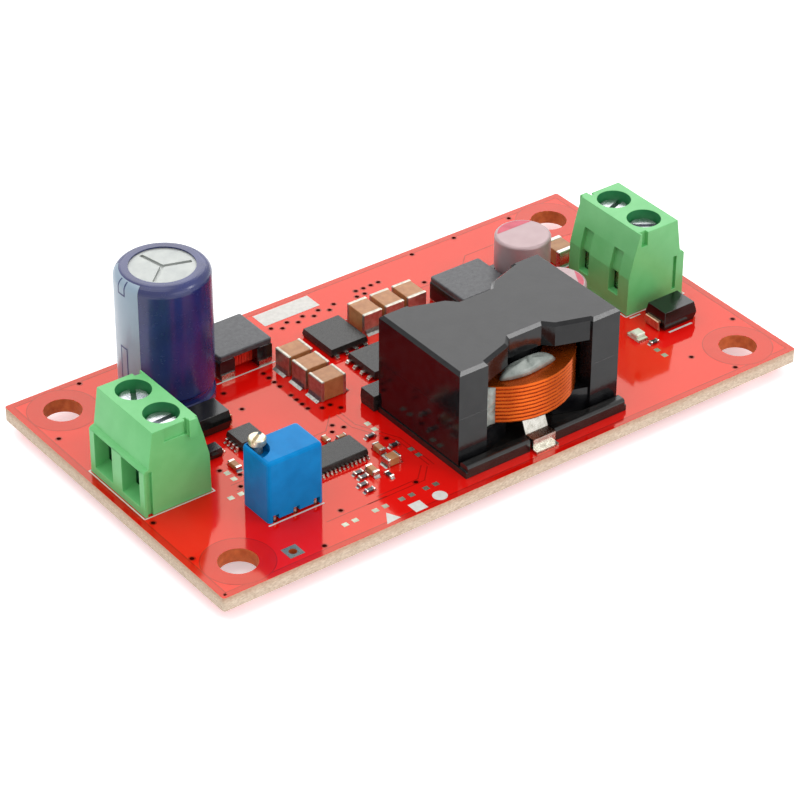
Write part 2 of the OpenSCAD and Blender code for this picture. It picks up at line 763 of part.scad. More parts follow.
module bulk_capacitor_can() {
    color("silver")
        place(bulk_at)
        difference() {
            rotate_extrude($fn = 72)
                polygon(concat(
                    [[0, bulk_base_z]],
                    can_side(bulk_can_r, bulk_base_z, bulk_can_top, bulk_shoulder_r, bulk_groove_z, bulk_groove),
                    [[0, bulk_can_top]]
                ));
            for (k = [0:2]) {
                rotate([0, 0, score_angle + 120 * k])
                    translate([0, -score_w / 2, bulk_can_top - score_depth])
                    cube([bulk_bare_d / 2 - 0.4, score_w, 1]);
            }
        }
}

module bulk_capacitor_sleeve() {
    inner_r = bulk_d / 2 - sleeve_t;
    color("midnightblue")
        place(bulk_at)
        rotate_extrude($fn = 72)
        polygon(concat(
            can_side(bulk_d / 2, 0.1, bulk_h, bulk_shoulder_r + sleeve_t, bulk_groove_z, bulk_groove),
            [[bulk_bare_d / 2, bulk_h], [bulk_bare_d / 2, bulk_h - sleeve_t]],
            reversed(can_side(inner_r, 0.1, bulk_h - sleeve_t, bulk_shoulder_r, bulk_groove_z, bulk_groove))
        ));
}

module bulk_capacitor_leads() {
    color("gainsboro")
        place(bulk_at)
        for (s = [-1, 1]) {
            translate([s * bulk_lead_pitch / 2, 0, -board_t - lead_out])
                cylinder(d = bulk_lead_d, h = bulk_base_z + board_t + lead_out, $fn = 24);
        }
}

// ---- Trimmer ---------------------------------------------------------------------------

trim_notch_h = 0.85;
trim_bore_depth = 2;

module trimmer_body() {
    color("royalblue")
        place(trim_at)
        difference() {
            soft_slab(round_rect(trim_l, trim_w, trim_edge_r * 1.1), trim_h, trim_edge_r);
            translate([0.6 - trim_l / 2, -trim_w, -1]) cube([trim_l - 1.2, 2 * trim_w, trim_foot_h + 1]);
            for (s = [-1:1]) {
                translate([s * trim_lead_pitch - 0.38, -trim_w, -1])
                    cube([0.76, trim_w / 2 + 0.75, trim_notch_h + 1]);
            }
            intersection() {
                translate([trim_screw_x - 1.1, trim_screw_y - 0.4, trim_h - trim_pocket])
                    cylinder(r = trim_pocket_r, h = trim_h);
                translate([trim_rim - trim_l / 2, -trim_w / 2, 0])
                    cube([trim_l, trim_w - trim_rim, 2 * trim_h]);
            }
            translate([trim_screw_x, trim_screw_y, trim_h - trim_pocket - trim_bore_depth])
                cylinder(d = trim_neck_d + 0.1, h = trim_h);
        }
}

module trimmer_screw() {
    head_top = trim_h + trim_screw_out;
    color("gold")
        place(trim_at)
        translate([trim_screw_x, trim_screw_y, 0])
        difference() {
            rotate_extrude()
                polygon([
                    [0, trim_h - trim_pocket - trim_bore_depth + seat_gap],
                    [trim_neck_d / 2, trim_h - trim_pocket - trim_bore_depth + seat_gap],
                    [trim_neck_d / 2, trim_head_low], [trim_screw_d / 2, trim_head_low],
                    [trim_screw_d / 2, head_top - 0.12], [trim_screw_d / 2 - 0.12, head_top], [0, head_top]
                ]);
            rotate([0, 0, trim_slot_angle])
                translate([-trim_screw_d, -0.2, head_top - 0.4])
                cube([2 * trim_screw_d, 0.4, 1]);
        }
}

module trimmer_leads() {
    color("gainsboro")
        place(trim_at)
        for (s = [-1:1]) {
            translate([s * trim_lead_pitch, -trim_lead_y, -board_t - lead_out])
                cylinder(d = trim_lead_d, h = trim_notch_h + board_t + lead_out, $fn = 24);
        }
}

// ---- Power inductor ----------------------------------------------------------------------

module core_legs(low, high) {
    translate([0, 0, low])
        linear_extrude(high - low)
        difference() {
            for (s = [-1, 1]) {
                translate([s * (core_x - core_leg / 2), 0]) square([core_leg, core_w], center = true);
            }
            circle(r = window_r, $fn = 96);
        }
}

module inductor_core_upper() {
    plate_low = core_top - core_plate;
    color("dimgray")
        place(inductor_at)
        union() {
            translate([0, 0, plate_low]) soft_slab(plate_outline, core_plate, core_bevel, 1, false);
            core_legs(core_mid, plate_low);
            translate([0, 0, core_mid + post_gap / 2])
                cylinder(d = post_d, h = plate_low - core_mid - post_gap / 2);
        }
}

module inductor_core_lower() {
    plate_top = core_bottom + core_plate;
    color("dimgray")
        place(inductor_at)
        union() {
            translate([0, 0, core_bottom]) linear_extrude(core_plate) polygon(plate_outline);
            core_legs(plate_top, core_mid);
            translate([0, 0, plate_top]) cylinder(d = post_d, h = core_mid - post_gap / 2 - plate_top);
        }
}

// The flat wire's section at one step of the helix
function coil_section(k) =
    let (a = coil_start + 360 * k / coil_segments, z = coil_z + coil_pitch * k / coil_segments)
    [
        for (p = [[coil_bore_r, 0], [coil_r - 0.1, 0], [coil_r, wire_t / 2], [coil_r - 0.1, wire_t], [coil_bore_r, wire_t]])
            [p[0] * cos(a), p[0] * sin(a), z + p[1]]
    ];

module inductor_coil() {
    color("darkorange")
        place(inductor_at)
        polyhedron(
            points = [for (k = [0:coil_steps]) each coil_section(k)],
            faces = ring_faces(5, coil_steps + 1, whole_cap(5))
        );
}

module inductor_header() {
    color("black")
        place(inductor_at)
        difference() {
            union() {
                translate([-header_l / 2, -header_w / 2, 0]) cube([header_l, header_w / 2 + core_y, header_floor]);
                translate([-header_rear_l / 2, 0, 0]) cube([header_rear_l, header_w / 2, header_floor]);
                header_bar(header_l - 0.4);
                rotate([0, 0, 180]) header_bar(header_rear_l);
            }
            translate([clip_x - clip_slot_w / 2, -header_w, -1])
                cube([clip_slot_w, header_w - bar_y, header_bar_h + 2]);
            translate([clip_x - clip_slot_w / 2, header_w / 2 - 0.5, -1])
                cube([clip_slot_w, 2, header_bar_h + 2]);
        }
}

// The bar along one edge of the header
module header_bar(l) {
    r = 0.35;
    end_extrude(l)
        polygon(concat(
            [[-header_w / 2, 0], [-bar_y, 0]],
            arc(-bar_y - r, header_bar_h - r, r, 0, 90, 4),
            arc(r - header_w / 2, header_bar_h - r, r, 90, 180, 4)
        ));
}

// The front clip runs up to the coil's first turn, the rear one to its last
module inductor_clips() {
    front = header_w / 2 + 0.25;
    under = coil_clip_z - 2 * seat_gap;
    rear = coil_r + seat_gap;
    color("silver")
        place(inductor_at)
        translate([clip_x, 0, 0]) {
            end_extrude(clip_w)
                polygon([
                    [-5.2, under], [-6.4, under], [-7.3, header_bar_h], [-front, header_bar_h],
                    [-front, clip_t], [-front - 0.65, clip_t], [-front - 0.65, 0], [clip_t - front, 0],
                    [clip_t - front, header_bar_h - clip_t], [-7.15, header_bar_h - clip_t],
                    [-6.25, under - clip_t], [-5.2, under - clip_t]
                ]);
            end_extrude(clip_w)
                polygon([
                    [rear, 0], [rear + 0.95, 0], [rear + 0.95, clip_t],
                    [rear + clip_t, clip_t], [rear + clip_t, coil_top], [rear, coil_top]
                ]);
        }
}

// Adhesive on top of the coil, and a run of it between the coil and the left leg
module inductor_glue() {
    color("gray")
        place(inductor_at)
        difference() {
            union() {
                glue_blob([[-3, -5.6, 0.5], [-1.4, -5.6, 0.75], [0.6, -5.7, 0.75], [2.2, -5.3, 0.6], [1.6, -4.9, 0.6]], coil_top);
                glue_run();
            }
            cylinder(d = post_d + 2 * seat_gap, h = core_top);
            translate([0, 0, core_top - core_plate - seat_gap]) cylinder(d = 3 * core_w, h = core_plate);
        }
}

// A blob on a surface at height z, through points with a radius each
module glue_blob(points, z) {
    intersection() {
        hull() {
            for (p = points) {
                translate([p[0], p[1], z]) sphere(r = p[2], $fn = 16);
            }
        }
        translate([-core_x, -core_w, z + seat_gap]) cube([core_l, core_w, core_top]);
    }
}

// Fills part of the gap between the coil and a leg, flush with the core's front
module glue_run() {
    difference() {
        translate([glue_run_x, -core_y + 0.15, coil_z + 0.3]) cube([glue_run_w, glue_run_w, coil_top - coil_z - 0.9]);
        translate([0, 0, coil_z]) cylinder(r = coil_r + seat_gap, h = coil_top);
        translate([-core_x, -core_w, 0]) cube([core_leg + seat_gap, 2 * core_w, core_top]);
    }
}

// ---- Chokes ----------------------------------------------------------------------------------

module choke_core() {
    pillar_h = choke_h - choke_plate_t - choke_lift - seat_gap;
    bar_z = choke_lift + pillar_h / 2;
    color("black")
        union() {
            for (s = [-1, 1]) {
                translate([s * (choke_l - choke_pillar) / 2, 0, bar_z])
                    side_extrude(choke_w)
                    polygon(round_rect(choke_pillar, pillar_h, 0.25, 3));
            }
            translate([0, 0, bar_z]) cube([choke_l - choke_pillar, choke_bar_w, choke_bar_h], center = true);
        }
}

module choke_plate() {
    color("slategray")
        translate([0, 0, choke_h - choke_plate_t])
        soft_slab(round_rect(choke_l, choke_w, 0.2, 1), choke_plate_t, 0.1, 1);
}

module choke_winding() {
    room = choke_l - 2 * choke_pillar;
    pitch = room / choke_turns;
    pillar_h = choke_h - choke_plate_t - choke_lift - seat_gap;
    color("firebrick")
        for (k = [0:choke_turns - 1]) {
            translate([(k + 0.5) * pitch - room / 2, 0, choke_lift + pillar_h / 2])
                end_extrude(choke_wire_d * 0.95)
                difference() {
                    polygon(round_rect(choke_bar_w + 2 * choke_wire_d, choke_bar_h + 2 * choke_wire_d, 0.35, 3));
                    square([choke_bar_w + seat_gap, choke_bar_h + seat_gap], center = true);
                }
        }
}

module choke_terminals() {
    t = choke_terminal_t;
    color("gainsboro")
        for (sx = [-1, 1], turn = [0, 180]) {
            rotate([0, 0, turn])
                translate([sx * (choke_l - choke_pillar) / 2, -choke_w / 2, 0])
                end_extrude(choke_pillar - 0.3)
                polygon([[-t, 0], [1.2, 0], [1.2, t], [0, t], [0, 0.75], [-t, 0.75]]);
        }
}

module input_choke_core() { place(input_choke_at) choke_core(); }
module input_choke_plate() { place(input_choke_at) choke_plate(); }
module input_choke_winding() { place(input_choke_at) choke_winding(); }
module input_choke_terminals() { place(input_choke_at) choke_terminals(); }
module output_choke_core() { place(output_choke_at) choke_core(); }
module output_choke_plate() { place(output_choke_at) choke_plate(); }
module output_choke_winding() { place(output_choke_at) choke_winding(); }
module output_choke_terminals() { place(output_choke_at) choke_terminals(); }

// ---- Ceramic capacitors --------------------------------------------------------------------------

module input_ceramic_capacitors() { large_ceramic_blocks(input_row); }
module input_ceramic_capacitor_ends() { large_ceramic_cups(input_row); }
module output_ceramic_capacitors() { large_ceramic_blocks(output_row); }
module output_ceramic_capacitor_ends() { large_ceramic_cups(output_row); }

module large_ceramic_blocks(row) {
    color("burlywood")
        for (p = row) {
            place(p, p[2]) chip_block(mlcc_l, mlcc_w, mlcc_h);
        }
}

module large_ceramic_cups(row) {
    color("gainsboro")
        for (p = row) {
            place(p, p[2]) chip_cups(mlcc_l, mlcc_w, mlcc_h, mlcc_cap);
        }
}

// ---- Chips and diodes ---------------------------------------------------------------------------------

fet_lead_z = 0.3;
fet_lead_t = 0.22;

module power_transistor() {
    color("darkslategray") mould_body(fet_l, fet_w, 0.03, fet_h, 0.12);
}

module power_transistor_1() { place(fet_1_at) power_transistor(); }
module power_transistor_2() { place(fet_2_at, -90) power_transistor(); }

module power_transistor_leads() {
    color("gainsboro") {
        place(fet_1_at) fet_leads();
        place(fet_2_at, -90) fet_leads();
    }
}

// Four leads at the front and a wide cooling tab at the back
module fet_leads() {
    for (k = [-1.5:1.5]) {
        translate([k * fet_lead_pitch, -fet_w / 2, 0]) rotate([0, 0, -90]) gull_lead(0.45, fet_lead_z, fet_lead_t, 0.55);
    }
    translate([-fet_l / 2 + 0.35, fet_w / 2, 0]) cube([fet_l - 0.7, 0.35, fet_lead_t]);
}

module controller_chip() {
    color("darkslategray") place(control_at) mould_body(control_l, control_w, 0.08, control_h, 0.1);
}

module controller_chip_leads() {
    color("gainsboro")
        place(control_at)
        for (turn = [0, 180], k = [0:control_leads - 1]) {
            rotate([0, 0, turn])
                translate([(k - (control_leads - 1) / 2) * control_pitch, -control_w / 2, 0])
                rotate([0, 0, -90])
                gull_lead(0.24, 0.35, 0.12, 0.5);
        }
}

module driver_chip() {
    color("darkslategray") place(driver_at) mould_body(driver_side, driver_side, 0.08, driver_h, 0.12);
}

module driver_chip_leads() {
    color("gainsboro")
        place(driver_at)
        for (turn = [0, 180], k = [-1.5:1.5]) {
            rotate([0, 0, turn])
                translate([driver_side / 2, k * driver_pitch, 0])
                gull_lead(0.3, 0.45, 0.15, 0.6);
        }
}

module rear_chip() {
    color("black")
        place(rear_chip_at)
        mould_body(rear_chip_size[0], rear_chip_size[1], 0.03, rear_chip_size[2], 0.06);
}

small_diode_l = 2.7;

module small_diode() {
    color("black") place(small_diode_at) mould_body(small_diode_l, 1.5, 0.05, 1.1, 0.1);
}

module small_diode_leads() {
    color("gainsboro")
        place(small_diode_at)
        for (turn = [0, 180]) {
            rotate([0, 0, turn]) translate([small_diode_l / 2, 0, 0]) gull_lead(0.6, 0.4, 0.15, 0.55);
        }
}

module diode_body() {
    color("black") mould_body(diode_l, diode_w, 0.1, diode_h, 0.22);
}

module diode_leads() {
    color("tan")
        for (turn = [0, 180]) {
            rotate([0, 0, turn]) translate([diode_l / 2, 0, 0]) fold_lead(diode_lead_w, 1.25, 0.2, 0.42);
        }
}

module input_diode() { place(input_diode_at) diode_body(); }
module input_diode_leads() { place(input_diode_at) diode_leads(); }
module output_diode() { place(output_diode_at) diode_body(); }
module output_diode_leads() { place(output_diode_at) diode_leads(); }

// ---- Polymer capacitors -----------------------------------------------------------------------------------

polymer_at = [polymer_1_at, polymer_2_at];
polymer_floor = 0.35;
polymer_rim_h = 1.1;

module polymer_can() {
    color("lightgray")
        rotate_extrude()
        polygon(concat(
            [[0, polymer_floor]],
            can_side(polymer_d / 2, polymer_floor, polymer_h, 0.35, 1.6, 0.25),
            [[0, polymer_h]]
        ));
}

module polymer_capacitor_1() { place(polymer_at[0]) polymer_can(); }
module polymer_capacitor_2() { place(polymer_at[1]) polymer_can(); }

module polymer_capacitor_bases() {
    b = polymer_base / 2;
    color("black")
        for (at = polymer_at) {
            place(at)
                difference() {
                    linear_extrude(polymer_rim_h)
                        polygon([[-b, -b], [b - 1.3, -b], [b, 1.3 - b], [b, b - 1.3], [b - 1.3, b], [-b, b]]);
                    translate([0, 0, polymer_floor - eps]) cylinder(d = polymer_d + 2 * seat_gap, h = polymer_h);
                }
        }
}

module polymer_capacitor_leads() {
    color("gainsboro")
        for (at = polymer_at, turn = [0, 180]) {
            place(at, turn) translate([polymer_base / 2, -0.35, 0]) cube([0.5, 0.7, 0.2]);
        }
}

// ---- Small parts -----------------------------------------------------------------------------------------------

module status_led() {
    color("honeydew")
        place(led_at)
        union() {
            translate([0, 0, 0.15]) cube([led_w, led_l - 0.1, 0.3], center = true);
            translate([0, 0, 0.3 - eps]) bevel_box(led_w, led_l * 0.6, led_h - 0.3, 0.12);
        }
}

module chip_resistors() {
    color("black")
        for (p = chip_resistor_places) {
            place(p, p[2]) chip_block(chip_l, chip_w, chip_h);
        }
}

module chip_capacitors() {
    color("burlywood")
        for (p = chip_capacitor_places) {
            place(p, p[2]) chip_block(p[3], p[4], p[5]);
        }
}

module chip_end_caps() {
    color("gainsboro") {
        for (p = chip_resistor_places) {
            place(p, p[2]) chip_cups(chip_l, chip_w, chip_h, chip_cap);
        }
        for (p = chip_capacitor_places) {
            place(p, p[2]) chip_cups(p[3], p[4], p[5], p[3] * 0.2);
        }
        for (turn = [0, 180]) {
            place(led_at, turn) translate([-led_w / 2, led_l / 2 - 0.05, 0]) cube([led_w, 0.1, 0.3]);
        }
    }
}

// ---- Solder ----------------------------------------------------------------------------------------------------------

module solder_joints() {
    color("silver") {
        for (lead = through_leads) {
            place(lead) lead_joint(lead[2]);
        }
        for (p = concat(input_row, output_row)) {
            place(p, p[2]) end_fillets(mlcc_l, mlcc_w - 0.4, 0.55);
        }
        for (p = chip_resistor_places) {
            place(p, p[2]) end_fillets(chip_l, chip_w - 0.1, 0.2);
        }
        for (p = chip_capacitor_places) {
            place(p, p[2]) end_fillets(p[3], p[4] - 0.1, 0.25);
        }
    }
}

// The solder cone round a lead under the board
module lead_joint(r) {
    wide = r + solder_ring;
    translate([0, 0, -board_t])
        rotate_extrude($fn = 32)
        polygon([
            [r + seat_gap, 0], [wide, 0], [wide - solder_ring * 0.35, -solder_h * 0.25],
            [wide - solder_ring * 0.7, -solder_h * 0.6], [r + seat_gap + 0.05, -solder_h], [r + seat_gap, -solder_h]
        ]);
}

circuit_board();
input_terminal_housing();
input_terminal_screw_1();
input_terminal_screw_2();
input_terminal_clamp_1();
input_terminal_clamp_2();
input_terminal_contacts();
output_terminal_housing();
output_terminal_screw_1();
output_terminal_screw_2();
output_terminal_clamp_1();
output_terminal_clamp_2();
output_terminal_contacts();
bulk_capacitor_can();
bulk_capacitor_sleeve();
bulk_capacitor_leads();
trimmer_body();
trimmer_screw();
trimmer_leads();
inductor_core_upper();
inductor_core_lower();
inductor_coil();
inductor_header();
inductor_clips();
inductor_glue();
input_choke_core();
input_choke_plate();
input_choke_winding();
input_choke_terminals();
output_choke_core();
output_choke_plate();
output_choke_winding();
output_choke_terminals();
input_ceramic_capacitors();
input_ceramic_capacitor_ends();
output_ceramic_capacitors();
output_ceramic_capacitor_ends();
power_transistor_1();
power_transistor_2();
power_transistor_leads();
controller_chip();
controller_chip_leads();
driver_chip();
driver_chip_leads();
rear_chip();
small_diode();
small_diode_leads();
input_diode();
input_diode_leads();
output_diode();
output_diode_leads();
polymer_capacitor_1();
polymer_capacitor_2();
polymer_capacitor_bases();
polymer_capacitor_leads();
status_led();
chip_resistors();
chip_capacitors();
chip_end_caps();
solder_joints();
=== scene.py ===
import math
import bmesh
import bpy
from mathutils import Matrix, Vector


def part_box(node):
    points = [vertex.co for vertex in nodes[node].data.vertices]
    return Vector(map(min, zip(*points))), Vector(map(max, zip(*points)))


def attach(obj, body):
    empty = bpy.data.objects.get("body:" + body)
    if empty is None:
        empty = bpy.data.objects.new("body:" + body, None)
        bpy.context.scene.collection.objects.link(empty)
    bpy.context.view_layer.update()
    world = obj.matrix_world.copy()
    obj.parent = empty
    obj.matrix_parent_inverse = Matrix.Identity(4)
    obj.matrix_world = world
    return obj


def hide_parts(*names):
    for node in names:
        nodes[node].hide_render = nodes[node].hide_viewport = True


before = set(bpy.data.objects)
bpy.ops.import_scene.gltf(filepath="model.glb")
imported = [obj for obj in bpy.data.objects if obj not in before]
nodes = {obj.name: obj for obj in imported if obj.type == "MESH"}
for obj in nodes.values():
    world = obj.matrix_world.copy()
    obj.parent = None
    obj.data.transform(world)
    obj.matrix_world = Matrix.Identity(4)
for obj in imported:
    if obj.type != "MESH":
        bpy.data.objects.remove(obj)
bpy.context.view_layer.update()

WELD_GAP = 0.000002            # metres: joins the loose triangles of a CAD mesh
SHARP = math.radians(35)       # an edge that bends more than this is a real edge

# The board's box gives the frame that everything on it is measured in:
# millimetres from its near left corner, at its top face.
board_lo, board_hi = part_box("circuit_board")
mask_z = board_hi.z
board_l = (board_hi.x - board_lo.x) * 1000
board_w = (board_hi.y - board_lo.y) * 1000


def at(x, y, z=0.0):
    return Vector((board_lo.x + x / 1000, board_lo.y + y / 1000, mask_z + z / 1000))


def new_piece(name, bm, mats, body="root", smooth=False):
    mesh = bpy.data.meshes.new(name)
    bm.to_mesh(mesh)
    bm.free()
    for m in mats if isinstance(mats, (list, tuple)) else [mats]:
        mesh.materials.append(m)
    if smooth:
        mesh.shade_smooth()
    obj = bpy.data.objects.new(name, mesh)
    bpy.context.collection.objects.link(obj)
    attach(obj, body)
    return obj


# ---------------------------------------------------------------- materials
BUMP_DEPTH = 0.00003           # metres


def stuff(name, a, b, size=1.5, rough=0.4, vary=0.08, bump=0.0, grain=0.15,
          metal=0.0, stretch=(1, 1, 1), contrast=(0.35, 0.65), **sockets):
    """A surface whose colour drifts from a to b over about size mm, with its own
    roughness drift and a fine bump with grains of about grain mm. Other shader
    sockets are set by name, with _ for a space."""
    m = bpy.data.materials.new(name)
    m.use_nodes = True
    t = m.node_tree
    p = t.nodes["Principled BSDF"]
    p.inputs["Metallic"].default_value = metal
    for key, value in sockets.items():
        p.inputs[key.replace("_", " ")].default_value = value
    co = t.nodes.new("ShaderNodeTexCoord")
    mp = t.nodes.new("ShaderNodeMapping")
    mp.inputs["Scale"].default_value = [1000 * s for s in stretch]
    t.links.new(co.outputs["Object"], mp.inputs["Vector"])

    def noise(scale, detail=4.0):
        n = t.nodes.new("ShaderNodeTexNoise")
        n.inputs["Scale"].default_value = scale
        n.inputs["Detail"].default_value = detail
        t.links.new(mp.outputs["Vector"], n.inputs["Vector"])
        return n.outputs["Fac"]

    big = noise(1.0 / size)
    ramp = t.nodes.new("ShaderNodeValToRGB")
    ramp.color_ramp.elements[0].position = contrast[0]
    ramp.color_ramp.elements[1].position = contrast[1]
    ramp.color_ramp.elements[0].color = (*a, 1)
    ramp.color_ramp.elements[1].color = (*b, 1)
    t.links.new(big, ramp.inputs["Fac"])
    fine = noise(1.0 / grain, 3.0)
    t.links.new(ramp.outputs["Color"], p.inputs["Base Color"])
    span = t.nodes.new("ShaderNodeMapRange")
    span.inputs["To Min"].default_value = max(rough - vary, 0.02)
    span.inputs["To Max"].default_value = min(rough + vary, 1.0)
    t.links.new(fine, span.inputs["Value"])
    t.links.new(span.outputs["Result"], p.inputs["Roughness"])
    if bump:
        bp = t.nodes.new("ShaderNodeBump")
        bp.inputs["Strength"].default_value = bump
        bp.inputs["Distance"].default_value = BUMP_DEPTH
        t.links.new(fine, bp.inputs["Height"])
        t.links.new(bp.outputs["Normal"], p.inputs["Normal"])
    return m


# The mask mirrors the background, with a warm tint
gloss = {"IOR": 1.5, "Specular_Tint": (1.0, 0.8, 0.5, 1.0)}
mask = stuff("mask_red", (0.72, 0.003, 0.0015), (0.78, 0.005, 0.003), size=9, rough=0.07, vary=0.03,
             bump=0.03, grain=0.5, **gloss)
mask_bare = stuff("mask_over_laminate", (0.58, 0.003, 0.0015), (0.64, 0.005, 0.003), size=5, rough=0.1,
                  vary=0.03, bump=0.04, grain=0.4, **gloss)
mask_line = stuff("mask_groove", (0.42, 0.002, 0.001), (0.5, 0.004, 0.002), size=3, rough=0.14,
                  vary=0.05, bump=0.05, grain=0.3, **gloss)
laminate = stuff("laminate_edge", (0.5, 0.36, 0.25), (0.82, 0.68, 0.54), size=0.22, rough=0.75, vary=0.1,
                 bump=0.5, grain=0.09, stretch=(0.7, 0.7, 1.5), contrast=(0.25, 0.75))
hole_wall = stuff("laminate_bore", (0.48, 0.09, 0.012), (0.66, 0.16, 0.035), size=0.8, rough=0.6, vary=0.1,
                  bump=0.5, grain=0.15)
silk = stuff("white_print", (0.62, 0.6, 0.56), (0.71, 0.69, 0.65), size=0.4, rough=0.5, vary=0.1,
             bump=0.3, grain=0.1)
green = stuff("terminal_green", (0.13, 0.51, 0.165), (0.16, 0.56, 0.195), size=3, rough=0.34, vary=0.07,
              bump=0.15, grain=0.12)
# Painted shade: a darker green for the faces in the terminals' wells and chambers
green_painted_shade = stuff("terminal_green_painted_shade", (0.01, 0.17, 0.05), (0.02, 0.22, 0.065), size=3, rough=0.4,
                   vary=0.08, bump=0.15, grain=0.12)
zinc = stuff("zinc_plate", (0.5, 0.52, 0.55), (0.68, 0.69, 0.72), size=0.7, rough=0.24, vary=0.08,
             bump=0.25, grain=0.15, metal=1.0)
tin = stuff("tin_plate", (0.46, 0.44, 0.39), (0.62, 0.6, 0.55), size=0.6, rough=0.26, vary=0.08,
            bump=0.25, grain=0.12, metal=1.0)
end_tin = stuff("capacitor_end_tin", (0.36, 0.34, 0.28), (0.5, 0.48, 0.42), size=0.5, rough=0.34, vary=0.1,
                bump=0.35, grain=0.1, metal=0.85)
solder = stuff("solder", (0.3, 0.3, 0.28), (0.5, 0.49, 0.46), size=0.3, rough=0.34, vary=0.12,
               bump=0.9, grain=0.2, metal=1.0)
aluminium = stuff("can_aluminium", (0.41, 0.43, 0.42), (0.48, 0.5, 0.48), size=1.6, rough=0.48, vary=0.06,
                  bump=0.12, grain=0.08, metal=0.55)
# The pink in the polymer cans' colour is a painted reflection, not the can's own colour
polymer_can_reflected_pink = stuff("polymer_can_painted_pink_reflection", (0.43, 0.31, 0.32), (0.46, 0.34, 0.35), size=1.6, rough=0.42,
                    vary=0.06, bump=0.1, grain=0.1, metal=0.35)
polymer_ink = stuff("polymer_ink_red", (0.5, 0.03, 0.07), (0.62, 0.06, 0.11), size=1, rough=0.35, vary=0.06,
                    bump=0.1, grain=0.1)
sleeve = stuff("sleeve_blue", (0.011, 0.017, 0.1), (0.018, 0.028, 0.15), size=4, rough=0.26, vary=0.05,
               bump=0.06, grain=0.6, Coat_Weight=0.25, Coat_Roughness=0.14)
stripe = stuff("sleeve_stripe", (0.27, 0.36, 0.45), (0.3, 0.39, 0.48), size=4, rough=0.3, vary=0.04,
               bump=0.05, grain=0.5)
stripe_ink = stuff("sleeve_ink", (0.02, 0.03, 0.11), (0.03, 0.045, 0.16), size=1, rough=0.35)
trim_blue = stuff("trimmer_blue", (0.001, 0.18, 0.48), (0.003, 0.22, 0.56), size=2, rough=0.36, vary=0.07,
                  bump=0.15, grain=0.14, IOR=1.3, Specular_Tint=(0.15, 0.6, 1.0, 1.0))
brass = stuff("brass_cream", (0.62, 0.52, 0.36), (0.8, 0.72, 0.56), size=0.5, rough=0.3, vary=0.1,
              bump=0.3, grain=0.1, metal=0.8)
ferrite = stuff("ferrite_black", (0.004, 0.004, 0.005), (0.01, 0.01, 0.011), size=1.2, rough=0.13,
                vary=0.05, bump=0.2, grain=0.4, IOR=1.4)
copper = stuff("copper_enamel", (0.46, 0.062, 0.003), (0.58, 0.098, 0.006), size=3, rough=0.27, vary=0.05,
               bump=0.04, grain=0.4, metal=0.8)
red_wire = stuff("red_enamel", (0.66, 0.025, 0.012), (0.8, 0.06, 0.03), size=0.8, rough=0.2, vary=0.06,
                 bump=0.1, grain=0.1, metal=0.4)
moulding = stuff("black_moulding", (0.006, 0.006, 0.006), (0.014, 0.013, 0.012), size=1, rough=0.22,
                 vary=0.07, bump=0.14, grain=0.3)
glue = stuff("adhesive_grey", (0.2, 0.23, 0.21), (0.36, 0.39, 0.36), size=1.4, rough=0.28, vary=0.1,
             bump=0.5, grain=0.5)
plate = stuff("choke_plate_grey", (0.04, 0.041, 0.046), (0.07, 0.072, 0.078), size=0.5, rough=0.3,
              vary=0.08, bump=0.4, grain=0.12, IOR=1.45)
choke_black = stuff("choke_ferrite", (0.004, 0.004, 0.005), (0.01, 0.01, 0.012), size=0.5, rough=0.16,
                    vary=0.06, bump=0.3, grain=0.2)
tan = stuff("ceramic_tan", (0.4, 0.16, 0.055), (0.5, 0.23, 0.09), size=0.9, rough=0.4, vary=0.1,
            bump=0.3, grain=0.1)
epoxy = stuff("package_epoxy", (0.014, 0.014, 0.013), (0.028, 0.027, 0.025), size=0.4, rough=0.28,
              vary=0.09, bump=0.4, grain=0.09, IOR=1.4)
epoxy_gloss = stuff("diode_epoxy", (0.004, 0.004, 0.004), (0.009, 0.009, 0.008), size=0.6, rough=0.12,
                    vary=0.05, bump=0.25, grain=0.12)
resistor = stuff("resistor_film", (0.015, 0.015, 0.016), (0.035, 0.035, 0.038), size=0.3, rough=0.24,
                 vary=0.08, bump=0.15, grain=0.08)
lens = stuff("lamp_lens", (0.6, 0.66, 0.5), (0.74, 0.76, 0.64), size=0.4, rough=0.2, vary=0.06,
             bump=0.1, grain=0.1)
copper_lead = stuff("diode_lead_copper", (0.5, 0.3, 0.18), (0.66, 0.45, 0.3), size=0.5, rough=0.3, vary=0.08,
                    bump=0.25, grain=0.12, metal=0.9)
hasl = stuff("pad_plating", (0.3, 0.33, 0.25), (0.42, 0.43, 0.34), size=0.6, rough=0.3, vary=0.1,
             bump=0.3, grain=0.15, metal=0.8)
hole_dark = stuff("hole_shadow", (0.02, 0.001, 0.001), (0.045, 0.003, 0.002), size=0.3, rough=0.7,
                  Specular_IOR_Level=0.0)


def paint(names, material):
    for n in names.split():
        obj = nodes[n]
        obj.data.materials.clear()
        obj.data.materials.append(material)


paint("input_terminal_housing output_terminal_housing", green)
paint("input_terminal_screw_1 input_terminal_screw_2 output_terminal_screw_1 output_terminal_screw_2 "
      "input_terminal_clamp_1 input_terminal_clamp_2 output_terminal_clamp_1 output_terminal_clamp_2", zinc)
paint("input_terminal_contacts output_terminal_contacts trimmer_leads bulk_capacitor_leads inductor_clips "
      "input_choke_terminals output_choke_terminals power_transistor_leads controller_chip_leads "
      "driver_chip_leads small_diode_leads polymer_capacitor_leads chip_end_caps", tin)
paint("input_diode_leads output_diode_leads", copper_lead)
paint("solder_joints", solder)
paint("input_ceramic_capacitor_ends output_ceramic_capacitor_ends", end_tin)
paint("bulk_capacitor_can", aluminium)
paint("polymer_capacitor_1 polymer_capacitor_2", polymer_can_reflected_pink)
paint("bulk_capacitor_sleeve", sleeve)
paint("trimmer_body", trim_blue)
paint("trimmer_screw", brass)
paint("inductor_core_upper inductor_core_lower", ferrite)
paint("inductor_coil", copper)
paint("inductor_header polymer_capacitor_bases", moulding)
paint("inductor_glue", glue)
paint("input_choke_plate output_choke_plate", plate)
